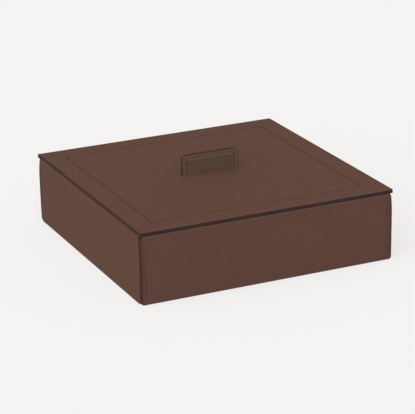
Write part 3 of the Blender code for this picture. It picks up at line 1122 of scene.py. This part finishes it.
class LEATHERBOX_OT_clad_case(Operator):
    """Clad the case in four thick leather panels"""

    bl_idname = "leather_box.clad_case"
    bl_label = "Clad the Case"
    bl_options = {"REGISTER", "UNDO"}

    def execute(self, context):
        look = context.scene.leather_box_leather
        for side, facing in WALLS.items():
            low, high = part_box("leather_" + side)
            panel = add_block("panel_" + side, low, high)
            ways = "X" if facing.y else ""
            gloss = look.panel_gloss if facing.y else look.soft_gloss
            dress = Dress(
                look.colour,
                look.panel_paint,
                ways,
                look.panel_lap,
                PANEL_EDGE_TONE,
                burnished="Z",
                gloss=gloss,
                squared=False,
            )
            dress_leather(panel, dress, low, high)
            round_slab(panel, facing, look.panel_corner, look.edge_rounding)
            assign_paint(panel, facing)
            if facing.y:
                self.bow_ends(panel, low, high)
                press_grooves(panel, panel_seams(side))
            smooth(panel)
            keep(panel, "case", "leather", "leather_" + side)
        return {"FINISHED"}

    def bow_ends(self, panel, low, high):
        """Draw both ends of a panel in a little towards the rim and the base."""
        look = settings("leather")
        widest = low.z + look.widest_share * (high.z - low.z)
        with editing(panel):
            for step in range(1, BOW_STEPS):
                level = low.z + (high.z - low.z) * step / BOW_STEPS
                pick(panel, "FACE", lambda face: abs(face.normal.x) > LEVEL)
                bpy.ops.mesh.bisect(plane_co=(0, 0, level), plane_no=AXIS_Z)
        for sign in (-1, 1):
            end = panel.vertex_groups.new(name="end")
            for vertex in panel.data.vertices:
                if sign * vertex.co.x > high.x - look.panel_corner - LEVEL:
                    upper = vertex.co.z > widest
                    stop, bow = (high.z, look.upper_bow) if upper else (low.z, look.lower_bow)
                    share = ((vertex.co.z - widest) / (stop - widest)) ** 2
                    end.add([vertex.index], share * bow / look.upper_bow, "REPLACE")
            pull = panel.modifiers.new("pull", "DISPLACE")
            pull.direction = "X"
            pull.mid_level = 0
            pull.strength = -sign * look.upper_bow
            pull.vertex_group = end.name
            select_alone(panel)
            bpy.ops.object.modifier_apply(modifier=pull.name)
        panel.vertex_groups.clear()


class LEATHERBOX_OT_cut_lid(Operator):
    """Cut the lid from one leather slab, with its slot and its stitched square"""

    bl_idname = "leather_box.cut_lid"
    bl_label = "Cut the Lid"
    bl_options = {"REGISTER", "UNDO"}

    def execute(self, context):
        look = context.scene.leather_box_leather
        low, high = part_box("lid_leather")
        lid = add_block("lid_slab", low, high)
        dress = Dress(
            look.colour,
            look.lid_paint,
            "X",
            look.lid_lap,
            LID_EDGE_TONE,
            burnished="Y",
            gloss=look.soft_gloss,
            squared=True,
        )
        dress_leather(lid, dress, low, high)
        round_slab(lid, AXIS_Z, look.lid_corner, look.edge_rounding)
        assign_paint(lid, AXIS_Z)
        press_grooves(lid, lid_seams())
        self.open_slot(lid)
        smooth(lid)
        keep(lid, "lid", "leather", "lid_leather")
        return {"FINISHED"}

    def open_slot(self, lid):
        """Open the slot that the tab passes through, with painted walls."""
        gap = settings("tab").slot_gap
        leaf_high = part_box("handle_front_leaf")[1]
        reach = Vector((leaf_high.x + gap, leaf_outer() + gap, 0))

        def over_middle(face):
            across, back = ([vertex.co[i] for vertex in face.verts] for i in (0, 1))
            flat = looks(face, AXIS_Z) or looks(face, -AXIS_Z)
            return flat and min(across) < 0 < max(across) and min(back) < 0 < max(back)

        with editing(lid):
            for axis, size in ((AXIS_X, reach.x), (AXIS_Y, reach.y)):
                for side in (-size, size):
                    pick(lid, "FACE", over_middle)
                    bpy.ops.mesh.bisect(plane_co=axis * side, plane_no=axis)
            pick(lid, "FACE", over_middle)
            bpy.ops.mesh.delete(type="FACE")
            pick(lid, "EDGE", lambda edge: edge.is_boundary)
            bpy.ops.mesh.bridge_edge_loops()
            lid.active_material_index = 1
            bpy.ops.object.material_slot_assign()


class LEATHERBOX_OT_fold_tab(Operator):
    """Fold the two leaves of the tab, which pass through the lid and turn out below it"""

    bl_idname = "leather_box.fold_tab"
    bl_label = "Fold the Tab"
    bl_options = {"REGISTER", "UNDO"}

    def execute(self, context):
        for side, facing in (("front", -AXIS_Y), ("back", AXIS_Y)):
            leaf = self.add_leaf(side, facing)
            smooth(leaf)
            keep(leaf, "lid", "leather", "handle_%s_leaf" % side)
        return {"FINISHED"}

    def add_leaf(self, side, facing):
        """One leaf, with its upper corners rounded and its foot folded outwards below the lid."""
        tab, look = settings("tab"), settings("leather")
        low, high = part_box("handle_%s_leaf" % side)
        lid_low, lid_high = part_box("lid_leather")
        outer = leaf_outer()
        inner = outer - (lid_low.z - low.z - tab.slot_gap)
        faces = sorted((facing.y * inner, facing.y * outer))
        leaf = add_block(
            "tab_%s_leaf" % side,
            Vector((low.x, faces[0], lid_low.z)),
            Vector((high.x, faces[1], high.z)),
        )
        mirrored = Vector((low.x, faces[0], 2 * lid_high.z - high.z))
        # The tab's lighter leather colour is painted light
        dress = Dress(
            look.tab_lit_colour,
            look.tab_paint,
            "XZ",
            look.tab_lap,
            # On the tab the edge tone is a painted highlight
            TAB_EDGE_HIGHLIGHT,
            burnished="",
            gloss=0,
            squared=False,
        )
        dress_leather(leaf, dress, mirrored, high)
        fold = facing.y * (outer + tab.slot_gap)
        foot_length = max(abs(low.y), abs(high.y)) - outer - tab.slot_gap
        tip = facing.y * (outer + tab.slot_gap + foot_length)

        def is_upper_corner(edge):
            return runs_along(edge, AXIS_Y) and edge.verts[0].co.z > lid_high.z

        def is_foot_corner(edge):
            return runs_along(edge, AXIS_Z) and abs(edge.verts[0].co.y - tip) < LEVEL

        def is_outer_edge(edge):
            above = max(vertex.co.z for vertex in edge.verts) > lid_high.z
            outside = edge.verts[0].co.y * facing.y > (inner + outer) / 2
            return above and outside and on_outline(edge, AXIS_Y)

        with editing(leaf):
            pick(leaf, "EDGE", is_upper_corner)
            round_off(tab.corner, TAB_CORNER_STEPS)
            pick(leaf, "FACE", lambda face: looks(face, -AXIS_Z))
            pivot, turn = (0, fold, lid_low.z), AXIS_X * -facing.y
            bpy.ops.mesh.spin(steps=FOLD_STEPS, angle=math.pi / 2, center=pivot, axis=turn)
            bpy.ops.mesh.extrude_region_move(TRANSFORM_OT_translate={"value": facing * foot_length})
            pick(leaf, "EDGE", is_foot_corner)
            round_off(tab.foot_corner, FOOT_CORNER_STEPS)
            bpy.ops.mesh.select_all(action="SELECT")
            bpy.ops.mesh.normals_make_consistent(inside=False)
            pick(leaf, "EDGE", is_outer_edge)
            round_off(tab.edge_rounding, TAB_EDGE_STEPS)
        assign_paint(leaf, AXIS_Y)
        press_grooves(leaf, tab_seams(side))
        return leaf


class LEATHERBOX_OT_sew_seams(Operator):
    """Sew every row with slanted stitches of waxed thread"""

    bl_idname = "leather_box.sew_seams"
    bl_label = "Sew the Seams"
    bl_options = {"REGISTER", "UNDO"}

    def execute(self, context):
        sewing = context.scene.leather_box_stitching
        front, back = tab_seams("front"), tab_seams("back")
        groups = {
            "stitching_front": ("case", panel_seams("front"), sewing.thread_colour),
            "stitching_back": ("case", panel_seams("back"), sewing.thread_colour),
            # The lid's darker thread is painted groove shade
            "stitching_lid": ("lid", lid_seams(), sewing.lid_thread_shaded_colour),
            # The top row's lighter thread is a painted highlight
            "stitching_tab_top": ("lid", [front[1], back[1]], sewing.tab_top_thread_lit_colour),
            "stitching_tab_ends": ("lid", [*front[::2], *back[::2]], sewing.thread_colour),
        }
        for name, (body, seams, tone) in groups.items():
            rows = [self.sew_row(seam) for seam in seams]
            bpy.ops.object.select_all(action="DESELECT")
            for row in rows:
                row.select_set(True)
            bpy.context.view_layer.objects.active = rows[0]
            bpy.ops.object.join()
            thread = bpy.context.active_object
            thread.name = name
            thread.data.name = name
            thread.data.materials.append(thread_finish(name + "_thread", tone))
            bpy.ops.object.shade_smooth()
            keep(thread, body, "leather")
        return {"FINISHED"}

    def sew_row(self, seam):
        """One row, as a run of stitches that is then turned into its place."""
        count = stitches_in(seam)
        pitch = (seam.end - seam.start).length / count
        row = self.make_stitch(pitch)
        run = row.modifiers.new("run", "ARRAY")
        run.use_relative_offset = False
        run.use_constant_offset = True
        run.constant_offset_displace = (pitch, 0, 0)
        run.count = count
        bpy.ops.object.modifier_apply(modifier=run.name)
        along = (seam.end - seam.start).normalized()
        across = seam.facing.cross(along)
        turn = Matrix((along, across, seam.facing)).transposed().to_4x4()
        row.matrix_world = Matrix.Translation(seam.start) @ turn
        bpy.ops.object.transform_apply(location=True, rotation=True, scale=True)
        return row

    def make_stitch(self, pitch):
        """First stitch of a row along X, on a face that looks up, with both ends in their holes."""
        sewing = settings("stitching")
        radius = sewing.thread / 2
        lift = radius - sewing.groove_depth
        length = pitch - radius
        bpy.ops.object.select_all(action="DESELECT")
        bpy.ops.mesh.primitive_cylinder_add(
            vertices=STITCH_SIDES, radius=radius, depth=length, rotation=(0, math.pi / 2, 0)
        )
        stitch = bpy.context.active_object
        bpy.ops.object.transform_apply(location=True, rotation=True, scale=True)
        with editing(stitch):
            pick(stitch, "EDGE", lambda edge: runs_along(edge, AXIS_X))
            bpy.ops.mesh.subdivide(number_cuts=STITCH_CUTS)
        strand = stitch.data.attributes.new("strand", "FLOAT_VECTOR", "POINT")
        for vertex in stitch.data.vertices:
            strand.data[vertex.index].vector = vertex.co
        with editing(stitch):
            pick(stitch, "VERT", lambda vert: abs(vert.co.x) > length / 2 - LEVEL)
            bpy.ops.transform.translate(
                value=(0, 0, -radius - sewing.hole_depth),
                use_proportional_edit=True,
                proportional_edit_falloff="SPHERE",
                proportional_size=length * STITCH_DIP,
            )
            pick(stitch, "VERT", lambda vert: True)
            bpy.ops.transform.translate(value=(0, 0, lift))
        stitch.rotation_euler.z = sewing.slant
        stitch.location.x = pitch / 2
        bpy.ops.object.transform_apply(location=True, rotation=True, scale=True)
        return stitch


class LEATHERBOX_OT_line_inside(Operator):
    """Line the case with suede sheets and wrap the locating board under the lid"""

    bl_idname = "leather_box.line_inside"
    bl_label = "Line the Inside"
    bl_options = {"REGISTER", "UNDO"}

    def execute(self, context):
        look = context.scene.leather_box_inside
        for part in ("front", "back", "left", "right", "floor"):
            low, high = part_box("lining_" + part)
            sheet = add_block("suede_" + part, low, high)
            with editing(sheet):
                bpy.ops.mesh.select_all(action="SELECT")
                round_off(look.sheet_rounding, SHEET_EDGE_STEPS)
            sheet.data.materials.append(once("lining_suede", suede_finish))
            smooth(sheet)
            keep(sheet, "case", "lining", "lining_" + part)
        self.wrap_locator(look)
        return {"FINISHED"}

    def wrap_locator(self, look):
        """Shallow tray of lining round the locating board, open towards the lid."""
        low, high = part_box("locator_lining")
        board_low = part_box("locator_board")[0]
        wrap = add_block("suede_wrap", low, high)
        gap = settings("tab").slot_gap
        wall = board_low.x - low.x - gap

        def is_lower_edge(edge):
            return on_outline(edge, AXIS_Z) and edge.verts[0].co.z < low.z + LEVEL

        with editing(wrap):
            pick(wrap, "EDGE", lambda edge: runs_along(edge, AXIS_Z))
            round_off(look.wrap_corner, WRAP_CORNER_STEPS)
            pick(wrap, "FACE", lambda face: looks(face, AXIS_Z))
            bpy.ops.mesh.inset(thickness=wall, use_even_offset=True)
            depth = board_low.z - gap - high.z
            bpy.ops.mesh.extrude_region_move(TRANSFORM_OT_translate={"value": (0, 0, depth)})
            pick(wrap, "EDGE", is_lower_edge)
            round_off(look.wrap_rounding, WRAP_EDGE_STEPS)
        wrap.data.materials.append(once("lining_suede", suede_finish))
        smooth(wrap)
        keep(wrap, "lid", "lining", "locator_lining")


class LEATHERBOX_OT_finish_boards(Operator):
    """Paint the boards and cover the base with felt"""

    bl_idname = "leather_box.finish_boards"
    bl_label = "Finish the Boards"
    bl_options = {"REGISTER", "UNDO"}

    def execute(self, context):
        finishes = {"board": ("painted_board", board_finish), "base": ("base_felt", felt_finish)}
        for part in frame["record"]["subparts"]:
            if part["material_slot"] in finishes:
                node = frame["nodes"][part["node"]]
                node.data.materials.clear()
                node.data.materials.append(once(*finishes[part["material_slot"]]))
        return {"FINISHED"}


# Stage


class LEATHERBOX_OT_set_stage(Operator):
    """Set up the camera, a pale floor and soft studio light"""

    bl_idname = "leather_box.set_stage"
    bl_label = "Set the Stage"
    bl_options = {"REGISTER", "UNDO"}

    def execute(self, context):
        stage = context.scene.leather_box_stage
        context.scene.view_settings.view_transform = "Standard"
        self.add_camera(context.scene, stage)
        self.add_floor(stage)
        self.add_light(context.scene, stage)
        return {"FINISHED"}

    def add_camera(self, scene, stage):
        """Camera that looks at the box as the photograph does."""
        azimuth, elevation = stage.azimuth, stage.elevation
        back = Vector((
            math.sin(azimuth) * math.cos(elevation),
            -math.cos(azimuth) * math.cos(elevation),
            math.sin(elevation),
        ))
        bpy.ops.object.camera_add(location=Vector(stage.aim) + back * stage.distance)
        camera = bpy.context.active_object
        camera.name = "camera"
        camera.rotation_mode = "QUATERNION"
        level = (-back).to_track_quat("-Z", "Y")
        camera.rotation_quaternion = level @ Quaternion(AXIS_Z, stage.roll)
        camera.data.lens = stage.lens
        scene.camera = camera

    def add_floor(self, stage):
        """Floor whose shading the camera sees in part, and which can't be seen from below."""
        bpy.ops.object.select_all(action="DESELECT")
        bpy.ops.mesh.primitive_plane_add(size=stage.floor_size)
        floor = bpy.context.active_object
        floor.name = "floor"
        material = bpy.data.materials.new("pale_floor")
        material.use_nodes = True
        tree = material.node_tree
        tree.nodes.clear()
        colour = tinted(stage.floor_colour, 1)
        matt = tree.nodes.new("ShaderNodeBsdfDiffuse")
        matt.inputs["Color"].default_value = colour
        dim = tree.nodes.new("ShaderNodeBsdfDiffuse")
        dim.inputs["Color"].default_value = tinted(stage.floor_colour, stage.bounce_share)
        bright = tree.nodes.new("ShaderNodeEmission")
        bright.inputs["Color"].default_value = colour
        shown = self.mix_shaders(tree, None, matt, bright, 1 - stage.shadow_share)
        lit = self.mix_shaders(tree, self.seen_rays(tree), dim, shown)
        clear = tree.nodes.new("ShaderNodeBsdfTransparent")
        side = tree.nodes.new("ShaderNodeNewGeometry")
        both = self.mix_shaders(tree, side.outputs["Backfacing"], lit, clear)
        output = tree.nodes.new("ShaderNodeOutputMaterial")
        tree.links.new(both.outputs[0], output.inputs["Surface"])
        floor.data.materials.append(material)

    def add_light(self, scene, stage):
        """Two soft lamps, and even light from all round."""
        lamps = {
            "soft_key": (stage.key_strength, (1, 1, 1), stage.key_direction),
            "cool_fill": (stage.fill_strength, stage.fill_colour, stage.fill_direction),
        }
        for name, (strength, colour, direction) in lamps.items():
            self.add_lamp(name, strength, colour, direction, stage.light_spread)
        scene.world = bpy.data.worlds.new("studio")
        scene.world.use_nodes = True
        tree = scene.world.node_tree
        sky = tree.nodes["Background"]
        sky.inputs["Color"].default_value = (1, 1, 1, 1)
        sky.inputs["Strength"].default_value = stage.sky_strength
        behind = tree.nodes.new("ShaderNodeBackground")
        behind.inputs["Color"].default_value = tinted(stage.floor_colour, 1)
        both = self.mix_shaders(tree, self.seen_rays(tree), sky, behind)
        tree.links.new(both.outputs[0], tree.nodes["World Output"].inputs["Surface"])

    def add_lamp(self, name, strength, colour, direction, spread):
        """Soft light from far away in the given direction."""
        bpy.ops.object.light_add(type="SUN")
        lamp = bpy.context.active_object
        lamp.name = name
        lamp.data.energy = strength
        lamp.data.color = colour
        lamp.data.angle = spread
        lamp.rotation_mode = "QUATERNION"
        lamp.rotation_quaternion = (-Vector(direction)).to_track_quat("-Z", "Y")

    def seen_rays(self, tree):
        """One for rays that the eye follows, straight or mirrored, and zero for all others."""
        path = tree.nodes.new("ShaderNodeLightPath")
        followed = path.outputs["Is Camera Ray"]
        for name in ("Is Glossy Ray", "Is Transmission Ray"):
            larger = tree.nodes.new("ShaderNodeMath")
            larger.operation = "MAXIMUM"
            tree.links.new(followed, larger.inputs[0])
            tree.links.new(path.outputs[name], larger.inputs[1])
            followed = larger.outputs["Value"]
        return followed

    def mix_shaders(self, tree, socket, first, second, share=0.5):
        """Mix of two shaders, by another node's output or else by a fixed share."""
        mixed = tree.nodes.new("ShaderNodeMixShader")
        mixed.inputs["Fac"].default_value = share
        if socket:
            tree.links.new(socket, mixed.inputs["Fac"])
        tree.links.new(first.outputs[0], mixed.inputs[1])
        tree.links.new(second.outputs[0], mixed.inputs[2])
        return mixed


class LEATHERBOX_PT_sidebar(Panel):
    """Steps and settings of the leather box"""

    bl_label = "Leather Box"
    bl_space_type = "VIEW_3D"
    bl_region_type = "UI"
    bl_category = "Leather Box"

    def draw(self, context):
        for step in STEPS:
            self.layout.operator(step.bl_idname)
        for group, kind in GROUPS.items():
            box = self.layout.box()
            box.label(text=kind.__doc__)
            values = getattr(context.scene, "leather_box_" + group)
            for name in kind.__annotations__:
                box.prop(values, name)


GROUPS = {
    "leather": LeatherSettings,
    "tab": TabSettings,
    "stitching": StitchSettings,
    "inside": InsideSettings,
    "stage": StageSettings,
}

STEPS = [
    LEATHERBOX_OT_clad_case,
    LEATHERBOX_OT_cut_lid,
    LEATHERBOX_OT_fold_tab,
    LEATHERBOX_OT_sew_seams,
    LEATHERBOX_OT_line_inside,
    LEATHERBOX_OT_finish_boards,
    LEATHERBOX_OT_set_stage,
]


# All that Blender registers
CLASSES = (*GROUPS.values(), *STEPS, LEATHERBOX_PT_sidebar)


def register():
    for kind in CLASSES:
        bpy.utils.register_class(kind)
    for group, kind in GROUPS.items():
        setattr(bpy.types.Scene, "leather_box_" + group, PointerProperty(type=kind))


def unregister():
    for group in GROUPS:
        delattr(bpy.types.Scene, "leather_box_" + group)
    for kind in CLASSES:
        bpy.utils.unregister_class(kind)


def main():
    register()
    bpy.ops.leather_box.clad_case()
    bpy.ops.leather_box.cut_lid()
    bpy.ops.leather_box.fold_tab()
    bpy.ops.leather_box.sew_seams()
    bpy.ops.leather_box.line_inside()
    bpy.ops.leather_box.finish_boards()
    bpy.ops.leather_box.set_stage()


if __name__ == "__main__":
    main()
